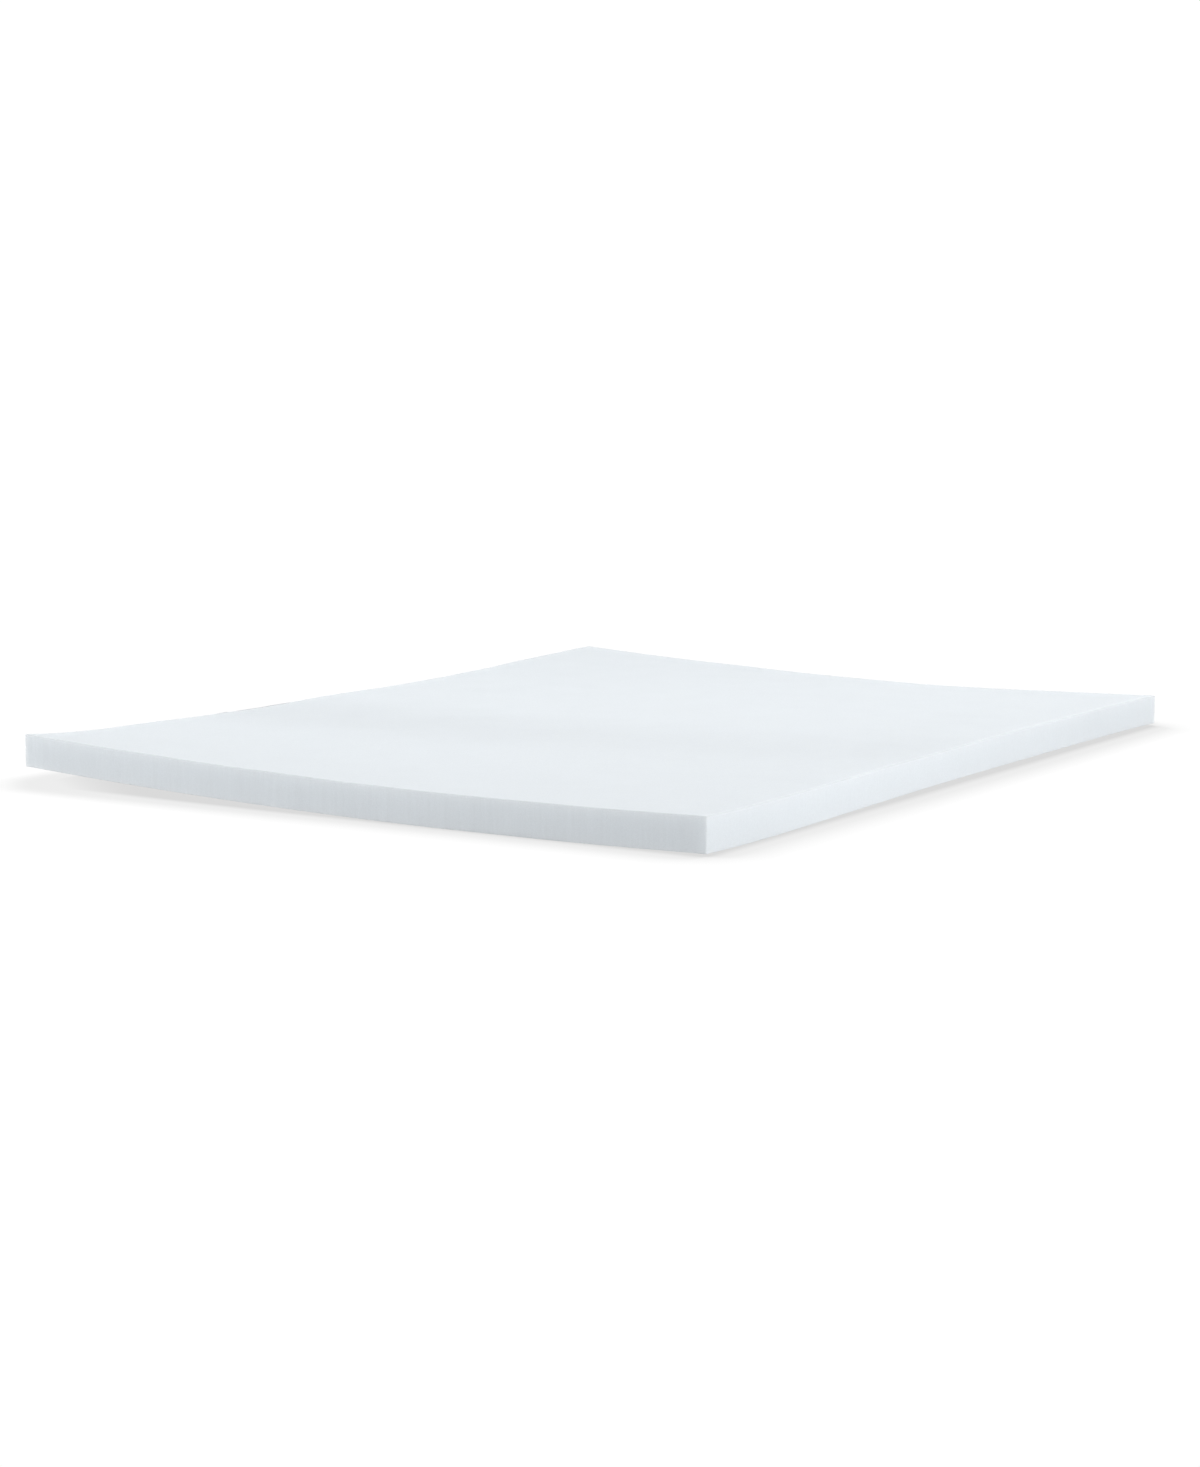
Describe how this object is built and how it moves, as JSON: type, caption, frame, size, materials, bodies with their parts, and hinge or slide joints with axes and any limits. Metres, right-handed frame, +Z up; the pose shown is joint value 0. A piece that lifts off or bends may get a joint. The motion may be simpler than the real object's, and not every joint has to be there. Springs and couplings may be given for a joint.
{
  "type": "memory foam mattress",
  "caption": "Queen-size bare memory foam mattress slab, unrolled flat with its left edge still curling up, and a blank law label on its far end.",
  "frame": {"origin": "on the floor under the middle of the slab", "axes": "+X across the width, +Y along the length towards the end with the label, +Z up"},
  "size_m": [1.524, 2.0324, 0.1035],
  "materials": {
    "foam": "matte",
    "adhesive": "satin",
    "label": "matte"
  },
  "bodies": {
    "root": {"foam_slab": "foam", "label_adhesive": "adhesive", "law_label": "label"}
  },
  "joints": []
}
